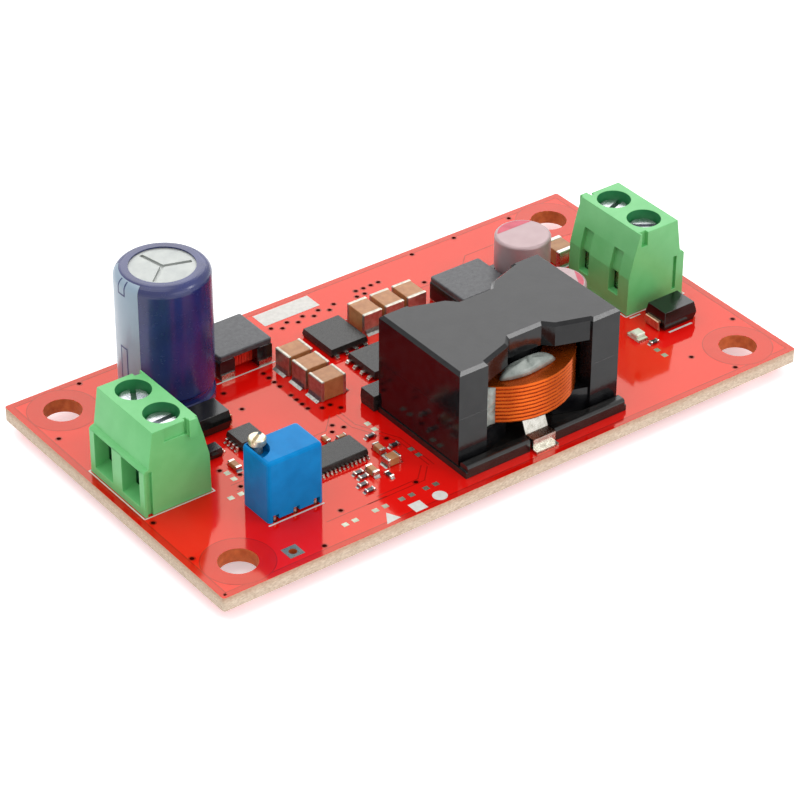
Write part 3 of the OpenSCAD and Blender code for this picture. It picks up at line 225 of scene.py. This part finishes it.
paint("input_choke_core output_choke_core", choke_black)
paint("input_choke_winding output_choke_winding", red_wire)
paint("input_ceramic_capacitors output_ceramic_capacitors chip_capacitors", tan)
paint("power_transistor_1 power_transistor_2 controller_chip driver_chip rear_chip", epoxy)
paint("small_diode input_diode output_diode", epoxy_gloss)
paint("chip_resistors", resistor)
paint("status_led", lens)

# The walls of the screws' wells, the wire entries and the chambers behind them are in shadow: they get a
# darker green, which is painted shade
WELL_R = 0.0022                # metres, like all the measures here
CHAMBER_TOP = mask_z + 0.0074
END_WALL, LONG_WALL = 0.0012, 0.0005
for side in ("input", "output"):
    housing = nodes[side + "_terminal_housing"]
    housing.data.materials.append(green_painted_shade)
    lo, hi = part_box(side + "_terminal_housing")
    axes = []
    for k in (1, 2):
        a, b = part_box("%s_terminal_screw_%d" % (side, k))
        axes.append(((a.x + b.x) / 2, (a.y + b.y) / 2))
    for f in housing.data.polygons:
        c, n = f.center, f.normal
        near = min(math.hypot(c.x - x, c.y - y) for x, y in axes)
        inside = lo.x + END_WALL < c.x < hi.x - END_WALL and lo.y + LONG_WALL < c.y < hi.y - LONG_WALL
        wall, square = abs(n.z) < 0.05, max(map(abs, n)) > 0.999
        in_well = near < WELL_R and wall
        in_chamber = inside and c.z < CHAMBER_TOP and square
        if in_well or in_chamber:
            f.material_index = 1

# The cut edge is stained brown under the mask, and is paler lower down
STAIN_DEPTH, STAIN = 0.00075, 0.6
lam = laminate.node_tree
bare = lam.nodes["Principled BSDF"].inputs["Base Color"]
spot = lam.nodes.new("ShaderNodeTexCoord")
split_xyz = lam.nodes.new("ShaderNodeSeparateXYZ")
lam.links.new(spot.outputs["Object"], split_xyz.inputs["Vector"])
depth = lam.nodes.new("ShaderNodeMapRange")
depth.inputs["From Min"].default_value = mask_z - STAIN_DEPTH
depth.inputs["From Max"].default_value = mask_z
depth.inputs["To Max"].default_value = STAIN
lam.links.new(split_xyz.outputs["Z"], depth.inputs["Value"])
stain = lam.nodes.new("ShaderNodeMix")
stain.data_type = "RGBA"
stain.inputs["B"].default_value = (0.42, 0.17, 0.075, 1)
lam.links.new(depth.outputs["Result"], stain.inputs["Factor"])
lam.links.new(bare.links[0].from_socket, stain.inputs["A"])
lam.links.new(stain.outputs["Result"], bare)

# The board: mask on its faces, raw laminate round its edge, darker walls in its holes
MASK, EDGE, BORE = range(3)
EDGE_BAND = 0.0003     # metres from the edge within which a wall is the board's outside
board = nodes["circuit_board"]
board.data.materials.clear()
for m in (mask, laminate, hole_wall):
    board.data.materials.append(m)
for f in board.data.polygons:
    rim = min(f.center.x - board_lo.x, board_hi.x - f.center.x,
              f.center.y - board_lo.y, board_hi.y - f.center.y)
    level_face = abs(f.normal.z) > 0.7
    f.material_index = MASK if level_face else EDGE if rim < EDGE_BAND else BORE


def weld_points(obj):
    weld = obj.modifiers.new("weld", "WELD")
    weld.merge_threshold = WELD_GAP


# A small rounding, in mm, on the moulded and ground edges, so that they catch the light
for names, width in (("inductor_core_upper inductor_core_lower", 0.14),
                     ("inductor_header trimmer_body", 0.09),
                     ("input_terminal_housing output_terminal_housing", 0.09),
                     ("input_choke_core output_choke_core input_choke_plate output_choke_plate", 0.06),
                     ("input_diode output_diode controller_chip driver_chip rear_chip small_diode "
                      "power_transistor_1 power_transistor_2", 0.05)):
    for n in names.split():
        weld_points(nodes[n])
        soft = nodes[n].modifiers.new("edges", "BEVEL")
        soft.width = width / 1000
        soft.segments = 3
        soft.limit_method = "ANGLE"
        soft.angle_limit = SHARP


# The winding is turned from short flats: it is shaded round, and keeps its sharp strip edges
coil = nodes["inductor_coil"]
coil.data.polygons.foreach_set("use_smooth", [True] * len(coil.data.polygons))
weld_points(coil)
split = coil.modifiers.new("edges", "EDGE_SPLIT")
split.split_angle = SHARP


# ------------------------------------------------------- print on the board
def flat(bm, points, z, index=0):
    """A face at height z; the points run anticlockwise, so that it looks up."""
    face = bm.faces.new([bm.verts.new(at(x, y, z)) for x, y in points])
    face.material_index = index


def ring(bm, x, y, r_in, r_out, z, n=40, index=0):
    """A flat ring of n faces, or a disc where r_in is 0."""
    angles = [math.radians(360 * i / n) for i in range(n + 1)]
    for p, q in zip(angles, angles[1:]):
        inner = [(x + r_in * math.cos(a), y + r_in * math.sin(a)) for a in (q, p)]
        outer = [(x + r_out * math.cos(a), y + r_out * math.sin(a)) for a in (p, q)]
        flat(bm, (inner if r_in > 0 else [(x, y)]) + outer, z, index)


def stroke(bm, points, w, z, index=0):
    """A line of width w through the points, with mitred corners."""
    pts = [Vector(p) for p in points]
    sides = []
    for i, p in enumerate(pts):
        a = (p - pts[i - 1]).normalized() if i else (pts[1] - p).normalized()
        b = (pts[i + 1] - p).normalized() if i < len(pts) - 1 else a
        t = (a + b).normalized()
        n = Vector((-t.y, t.x)) * (w / 2 / max(0.4, t.dot(a)))
        sides.append((p + n, p - n))
    for (l0, r0), (l1, r1) in zip(sides, sides[1:]):
        flat(bm, [r0, r1, l1, l0], z, index)


def box_line(x0, y0, x1, y1):
    """The closed outline of a rectangle, for stroke."""
    return [(x0, y0), (x1, y0), (x1, y1), (x0, y1), (x0, y0)]


# Heights above the mask in mm: print over pads, pads over the edges of the copper under the mask
PRINT_Z = 0.014
PAD_Z = 0.01
COPPER_Z = 0.006
APART = 0.002          # between two copper layers that overlap
PLATED, CLEAR, DARK, GROOVE = range(4)      # the materials of board_pads
POUR_INSET = 0.75      # from the board's edge to the edge of the copper
GROOVE_W = 0.14        # the step in the mask over a copper edge
GROOVE_OUT = 0.12      # how far that step stands outside the copper
HOLE_IN = 4.23         # from the long edges to the mounting holes
HOLE_R, CLEAR_R = 2.1, 3.75      # the mounting hole, and the ring round it without copper
VIA_R, VIA_RING_R = 0.25, 0.4

silk_bm = bmesh.new()
for corners in ((0.95, 15.42, 9.35, 25.9), (63.85, 15.72, 72.25, 26.2)):       # round the terminals
    stroke(silk_bm, box_line(*corners), 0.16, PRINT_Z)
stroke(silk_bm, [(10.3, 7.15), (17.1, 7.15)], 0.2, PRINT_Z)
stroke(silk_bm, [(20.3, 31.3), (27.9, 31.3)], 0.2, PRINT_Z)
stroke(silk_bm, [(65.7, 10.62), (69.0, 10.62)], 0.26, PRINT_Z)
stroke(silk_bm, [(64.1, 15.32), (65.6, 15.32)], 0.2, PRINT_Z)
# The blank label, and the triangle, square and dot at the front edge
flat(silk_bm, box_line(30.93, 37.65, 38.25, 40.1)[:4], PRINT_Z)
flat(silk_bm, [(20.05, 0.45), (21.85, 0.6), (21.1, 2.1)], PRINT_Z)
flat(silk_bm, box_line(23.6, 0.35, 25.1, 1.85)[:4], PRINT_Z)
ring(silk_bm, 27.25, 1.25, 0.0, 0.8, PRINT_Z, n=32)
new_piece("board_print", silk_bm, silk)

pad_bm = bmesh.new()
HOLES = ((4.6, HOLE_IN), (70, HOLE_IN), (4.6, board_w - HOLE_IN), (70, board_w - HOLE_IN))
for x, y in HOLES:
    ring(pad_bm, x, y, HOLE_R, CLEAR_R, COPPER_Z + APART, index=CLEAR)
    ring(pad_bm, x, y, CLEAR_R, CLEAR_R + GROOVE_OUT, COPPER_Z + APART, index=GROOVE)
inset, half_inset = POUR_INSET, POUR_INSET / 2
stroke(pad_bm, box_line(inset, inset, board_l - inset, board_w - inset), GROOVE_W, COPPER_Z, index=GROOVE)
stroke(pad_bm, box_line(half_inset, half_inset, board_l - half_inset, board_w - half_inset),
       inset - GROOVE_OUT, COPPER_Z - APART, index=CLEAR)
vias = [(25.75, 17.85), (26.53, 16.88), (25.04, 16.87), (26.79, 21.11), (27.81, 21.09), (28.4, 19.99),
        (42.58, 36.62), (43.64, 36.63), (43.15, 37.65), (44.18, 37.62), (45.22, 37.65), (46.27, 37.67),
        (52.83, 40.16), (58.83, 40.22), (66.57, 39.92), (8.64, 40.12), (50.39, 34.61), (19.95, 29.48),
        (19.86, 25.91), (11.71, 18.03), (13, 16.2), (11.9, 14.49), (28.91, 12.6), (17.65, 5.11),
        (12.9, 1.24), (26.68, 4.55), (1.33, 14.5), (1.49, 32.65), (1.16, 7.26), (73.09, 8.55),
        (64.48, 5.49), (66.96, 1.18)]
vias += [(25.5, 21.91 + 1.026 * i) for i in (0, 1, 2, 3, 5, 6, 7, 8)]
vias += [(31.2 + 1.05 * i, 36.9 - 0.7 * (i % 2)) for i in range(9)]
for x, y in vias:
    ring(pad_bm, x, y, VIA_R, VIA_RING_R, PAD_Z, n=16, index=GROOVE)
    ring(pad_bm, x, y, 0.0, VIA_R, PAD_Z, n=16, index=DARK)
# The square plated pad round the open test hole, a quarter at a time
hole, hole_r, corner_r = (9.85, 2.35), 0.45, 0.88 * math.sqrt(2)
for quarter in range(4):
    outer, inner = [], []
    for k in (0, 1):
        a = math.radians(90 * (quarter + k) + 45)
        outer.append((hole[0] + corner_r * math.cos(a), hole[1] + corner_r * math.sin(a)))
    for k in range(7):
        a = math.radians(90 * quarter + 45 + 15 * k)
        inner.append((hole[0] + hole_r * math.cos(a), hole[1] + hole_r * math.sin(a)))
    flat(pad_bm, outer + inner[::-1], PAD_Z, index=PLATED)
new_piece("board_pads", pad_bm, [hasl, mask_bare, hole_dark, mask_line])

# Bare tinned pads of the parts that can be fitted later: place and turn of each pair
PAD_OFF, PAD_ALONG, PAD_ACROSS = 0.62, 0.32, 0.3
spare_bm = bmesh.new()
spare = [(17.25, 2.9, 0), (21.1, 3.05, 0), (24.4, 3.05, 0), (27.5, 3.1, 0), (12.1, 16.6, 90), (10.6, 13.4, 0),
         (62.4, 8.1, 90), (47.5, 34.3, 0), (29.8, 8.9, 90), (20.2, 16.9, 0), (28.9, 15.3, 90)]
for x, y, a in spare:
    for s in (-1, 1):
        cx, cy = (x + s * PAD_OFF, y) if a == 0 else (x, y + s * PAD_OFF)
        dx, dy = (PAD_ALONG, PAD_ACROSS) if a == 0 else (PAD_ACROSS, PAD_ALONG)
        flat(spare_bm, box_line(cx - dx, cy - dy, cx + dx, cy + dy)[:4], PAD_Z)
new_piece("spare_pads", spare_bm, hasl)

TRACK_W = 0.13
track_bm = bmesh.new()
tracks = [[(29.6, 6.2), (29.6, 11.5), (27.2, 16.4), (27.2, 19.2)],
          [(30.1, 6.0), (30.1, 11.8), (27.8, 16.6), (27.8, 19.4)],
          [(22, 4.9), (27.2, 4.9), (28.9, 6.6)],
          [(20.4, 4.3), (27.6, 4.3), (29.3, 6.1)],
          [(11.2, 15.2), (14.2, 15.2), (15.4, 16.6)],
          [(11.2, 14.1), (14.6, 14.1), (17.5, 16.3)],
          [(16.9, 13.5), (18.6, 13.5)],
          [(20.4, 17.4), (24.6, 17.4), (26.6, 19.5)],
          [(48.6, 33.9), (55, 33.9), (57.5, 36.4), (66, 36.4)],
          [(15.4, 4.35), (22.9, 4.35)]]
for line in tracks:
    stroke(track_bm, line, TRACK_W, COPPER_Z)
new_piece("board_tracks", track_bm, mask_line)


# ------------------------------------------------- adhesive on the inductor
def smooth_loop(pts, per=6):
    """A closed Catmull-Rom curve through the points."""
    out = []
    for i in range(len(pts)):
        p = [Vector(pts[(i + k) % len(pts)]) for k in (-1, 0, 1, 2)]
        for j in range(per):
            t = j / per
            out.append(0.5 * ((2 * p[1]) + (p[2] - p[0]) * t + (2 * p[0] - 5 * p[1] + 4 * p[2] - p[3]) * t * t
                              + (3 * p[1] - p[0] - 3 * p[2] + p[3]) * t ** 3))
    return out


GLUE_SINK, GLUE_RISE = 0.16, 0.95      # mm under and over the top of the winding
GLUE_RINGS = 9
RUN_FOOT, RUN_H, RUN_STEPS = 3.55, 4.4, 12     # mm above the mask, mm, and steps in that height

coil_lo, coil_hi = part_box("inductor_coil")
mid_x = ((coil_lo.x + coil_hi.x) / 2 - board_lo.x) * 1000
mid_y = ((coil_lo.y + coil_hi.y) / 2 - board_lo.y) * 1000
coil_up = (coil_hi.z - mask_z) * 1000
# The run on the winding: rings that draw in towards its middle as they rise
glue_bm = bmesh.new()
loop = smooth_loop([(-4.2, -5.5), (-2.0, -6.35), (0.4, -6.3), (2.9, -5.75), (2.4, -4.25), (0.2, -4.1),
                    (-2.4, -4.15)])
mid = sum(loop, Vector((0, 0))) / len(loop)
rings = []
for k in range(GLUE_RINGS):
    t = 1 - k / (GLUE_RINGS - 0.5)
    row = []
    for i, p in enumerate(loop):
        q = mid + (p - mid) * t
        wave = 1 + 0.22 * math.sin(3 * i * math.tau / len(loop) + 1) * (1 - t)
        z = coil_up - GLUE_SINK + GLUE_RISE * math.sqrt(1 - t * t) * wave
        row.append(glue_bm.verts.new(at(mid_x + q.x, mid_y + q.y, z)))
    rings.append(row)
for a, b in zip(rings, rings[1:]):
    for i in range(len(loop)):
        j = (i + 1) % len(loop)
        glue_bm.faces.new((a[i], a[j], b[j], b[i]))
glue_bm.faces.new(rings[-1])
glue_bm.faces.new(rings[0][::-1])
# The run between the coil and the left leg, hollowed at its front
runs = []
for k in range(RUN_STEPS + 1):
    z = RUN_FOOT + RUN_H * k / RUN_STEPS
    sag = 0.22 * math.sin(2.3 * k) + 0.25 * abs(k - 6) / 6
    row = [(-6.8, -5.2), (-6.8, -6.75 + 0.3 * sag), (-6.35, -6.45 + sag),
           (-5.75, -6.2 + 0.6 * sag), (-5.25, -6.15), (-6.0, -5.42)]
    runs.append([glue_bm.verts.new(at(mid_x + x, mid_y + y, z)) for x, y in row])
for a, b in zip(runs, runs[1:]):
    for i in range(6):
        j = (i + 1) % 6
        glue_bm.faces.new((a[i], a[j], b[j], b[i]))
glue_bm.faces.new(runs[0][::-1])
glue_bm.faces.new(runs[-1])
bmesh.ops.recalc_face_normals(glue_bm, faces=glue_bm.faces)
glue_piece = new_piece("inductor_adhesive", glue_bm, glue, smooth=True)
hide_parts("inductor_glue")


# ----------------------------------------------- colour fields on the cans
def can_band(name, node, a0, a1, profile, mat, slot, step=4, proud=0.012):
    """A printed field wrapped round a can, from a0 to a1 degrees. The profile's points are
    (mm out from the widest radius, mm above the mask, how far the surface faces up, 0 to 1)."""
    lo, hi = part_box(node)
    cx, cy, r = (lo.x + hi.x) / 2, (lo.y + hi.y) / 2, (hi.x - lo.x) / 2
    bm = bmesh.new()
    count = max(1, round((a1 - a0) / step))
    rows = []
    for i in range(count + 1):
        a = math.radians(a0 + (a1 - a0) * i / count)
        rows.append([bm.verts.new((cx + (r + (d + proud) / 1000) * math.cos(a),
                                   cy + (r + (d + proud) / 1000) * math.sin(a),
                                   mask_z + (z + up * proud) / 1000)) for d, z, up in profile])
    for p, q in zip(rows, rows[1:]):
        for i in range(len(profile) - 1):
            bm.faces.new((p[i], q[i], q[i + 1], p[i + 1]))
    new_piece(name, bm, mat, smooth=True)


can_top = (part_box("bulk_capacitor_sleeve")[1].z - mask_z) * 1000
bend = 1.05            # mm, the radius of the can's shoulder
# The groove rolled in near the can's foot, which the stripe follows
foot = [(-0.245, 1.75, 0), (-0.35, 2.1, 0), (-0.245, 2.45, 0), (0, 2.8, 0)]


def shoulder(a0, a1, step=6):
    """Points of a profile over the can's rounded shoulder, from a0 to a1 degrees."""
    turns = [math.radians(t) for t in range(a0, a1 + 1, step)]
    return [(-bend * (1 - math.cos(t)), can_top - bend + bend * math.sin(t), math.sin(t)) for t in turns]


can_band("sleeve_stripe", "bulk_capacitor_sleeve", 138, 207,
         [(0, 0.5, 0), (0, 1.4, 0)] + foot + shoulder(0, 66), stripe, "sleeve_blue")
# Two plain outlines in the ink of the sleeve: one on the stripe, one that runs over the shoulder
LEFT, RIGHT, BETWEEN = (174, 176), (186, 188), (176, 186)      # degrees round the can
INK_W = 0.22
low_0, low_1, high = 3.4, 8.4, 14.7
short_bar = [(0, low_0, 0), (0, low_1, 0)]
long_bar = [(0, high, 0)] + shoulder(0, 60)
bars = {"0_0": (LEFT, short_bar), "0_1": (RIGHT, short_bar),
        "0_2": (BETWEEN, [(0, low_0, 0), (0, low_0 + INK_W, 0)]),
        "0_3": (BETWEEN, [(0, low_1 - INK_W, 0), (0, low_1, 0)]),
        "1_0": (LEFT, long_bar), "1_1": (RIGHT, long_bar),
        "1_2": (BETWEEN, [(0, high, 0), (0, high + INK_W, 0)])}
for k, (span, profile) in bars.items():
    can_band("sleeve_bar_" + k, "bulk_capacitor_sleeve", *span, profile, stripe_ink, "sleeve_blue",
             step=2, proud=0.022)


TOP_IN = 0.00034       # metres from a small can's side to its flat top
TOP_UP = 0.00001


def cap_field(name, node, direction, chord):
    """The coloured segment printed on a small can's flat top: it lies in the direction,
    in degrees, beyond a chord that many mm from the middle."""
    lo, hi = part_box(node)
    cx, cy, r = (lo.x + hi.x) / 2, (lo.y + hi.y) / 2, (hi.x - lo.x) / 2 - TOP_IN
    bm = bmesh.new()
    half = math.acos(chord / 1000 / r)
    ends = [math.radians(direction) - half + 2 * half * i / 24 for i in range(25)]
    bm.faces.new([bm.verts.new((cx + r * math.cos(a), cy + r * math.sin(a), hi.z + TOP_UP)) for a in ends])
    new_piece(name, bm, polymer_ink)


cap_field("polymer_mark_1", "polymer_capacitor_1", 90, 1.55)
cap_field("polymer_mark_2", "polymer_capacitor_2", -28, 2.15)

# ------------------------------------------------------------------- stage
FLOOR_GLOW = 0.45      # what the background's rays see of the floor besides the light on it
AMBIENT = 0.74         # the world's level for the rays that light the object
FLOOR_DOWN = 0.00005   # metres under the lowest point, so that nothing lies in the floor's plane
LAMP_AIM = Vector((0, 0, 0.005))


def background_rays(tree):
    """1 for the rays that show the background: the camera's, and mirrored or clear ones."""
    rays = tree.nodes.new("ShaderNodeLightPath")
    found = rays.outputs["Is Camera Ray"]
    for kind in ("Is Glossy Ray", "Is Transmission Ray"):
        both = tree.nodes.new("ShaderNodeMath")
        both.operation = "MAXIMUM"
        tree.links.new(found, both.inputs[0])
        tree.links.new(rays.outputs[kind], both.inputs[1])
        found = both.outputs[0]
    return found


floor_mat = bpy.data.materials.new("floor")
floor_mat.use_nodes = True
fn = floor_mat.node_tree
fp = fn.nodes["Principled BSDF"]
fp.inputs["Base Color"].default_value = (0.9, 0.9, 0.9, 1)
fp.inputs["Roughness"].default_value = 0.9
fp.inputs["Specular IOR Level"].default_value = 0.0
glow = fn.nodes.new("ShaderNodeMath")
glow.operation = "MULTIPLY"
glow.inputs[1].default_value = FLOOR_GLOW
fn.links.new(background_rays(fn), glow.inputs[0])
fp.inputs["Emission Color"].default_value = (1, 1, 1, 1)
fn.links.new(glow.outputs[0], fp.inputs["Emission Strength"])
bm = bmesh.new()
bmesh.ops.create_grid(bm, x_segments=1, y_segments=1, size=3)
mesh = bpy.data.meshes.new("floor")
bm.to_mesh(mesh)
bm.free()
mesh.materials.append(floor_mat)
floor = bpy.data.objects.new("floor", mesh)
floor.location.z = -FLOOR_DOWN
bpy.context.collection.objects.link(floor)

world = bpy.data.worlds.new("studio")
world.use_nodes = True
wn = world.node_tree
wn.nodes["Background"].inputs["Color"].default_value = (1, 1, 1, 1)
level = wn.nodes.new("ShaderNodeMapRange")
level.inputs["To Min"].default_value = AMBIENT
level.inputs["To Max"].default_value = 1.0
wn.links.new(background_rays(wn), level.inputs["Value"])
wn.links.new(level.outputs["Result"], wn.nodes["Background"].inputs["Strength"])
bpy.context.scene.world = world


def lamp(name, where, size, power):
    data = bpy.data.lights.new(name, "AREA")
    data.shape = "RECTANGLE"
    data.size, data.size_y = size
    data.energy = power
    obj = bpy.data.objects.new(name, data)
    obj.location = where
    obj.rotation_euler = (LAMP_AIM - Vector(where)).to_track_quat("-Z", "Y").to_euler()
    bpy.context.collection.objects.link(obj)


lamp("key", (-0.15, 0.1, 0.62), (0.6, 0.6), 1.35)
lamp("rear_panel", (0.5, 0.66, 0.56), (0.9, 0.5), 2.4)
lamp("fill", (0.1, -0.6, 0.25), (0.5, 0.4), 0.7)
lamp("glint", (0.3, -0.34, 0.4), (0.12, 0.12), 0.45)

# ------------------------------------------------------------------ camera
# Fitted to points picked in the photograph
FOCAL_PX, FRAME_PX = 3246.7, 800
CAMERA_AT = (-0.1729, -0.2302, 0.19536)
around, lift, roll = (math.radians(a) for a in (-36.795, 34.148, 0.2716))
back = Vector((math.sin(around) * math.cos(lift), -math.cos(around) * math.cos(lift), math.sin(lift)))
right = Vector((math.cos(around), math.sin(around), 0))
up = back.cross(right)
rolled = right * math.cos(roll) + up * math.sin(roll)
up = back.cross(rolled)
cam_data = bpy.data.cameras.new("camera")
cam_data.sensor_width = 36
cam_data.lens = cam_data.sensor_width * FOCAL_PX / FRAME_PX
cam_data.clip_start = 0.01
cam = bpy.data.objects.new("camera", cam_data)
cam.matrix_world = Matrix.Translation(CAMERA_AT) @ Matrix(
    (rolled, up, back)).transposed().to_4x4()
bpy.context.collection.objects.link(cam)
bpy.context.scene.camera = cam
bpy.context.scene.view_settings.view_transform = "Standard"
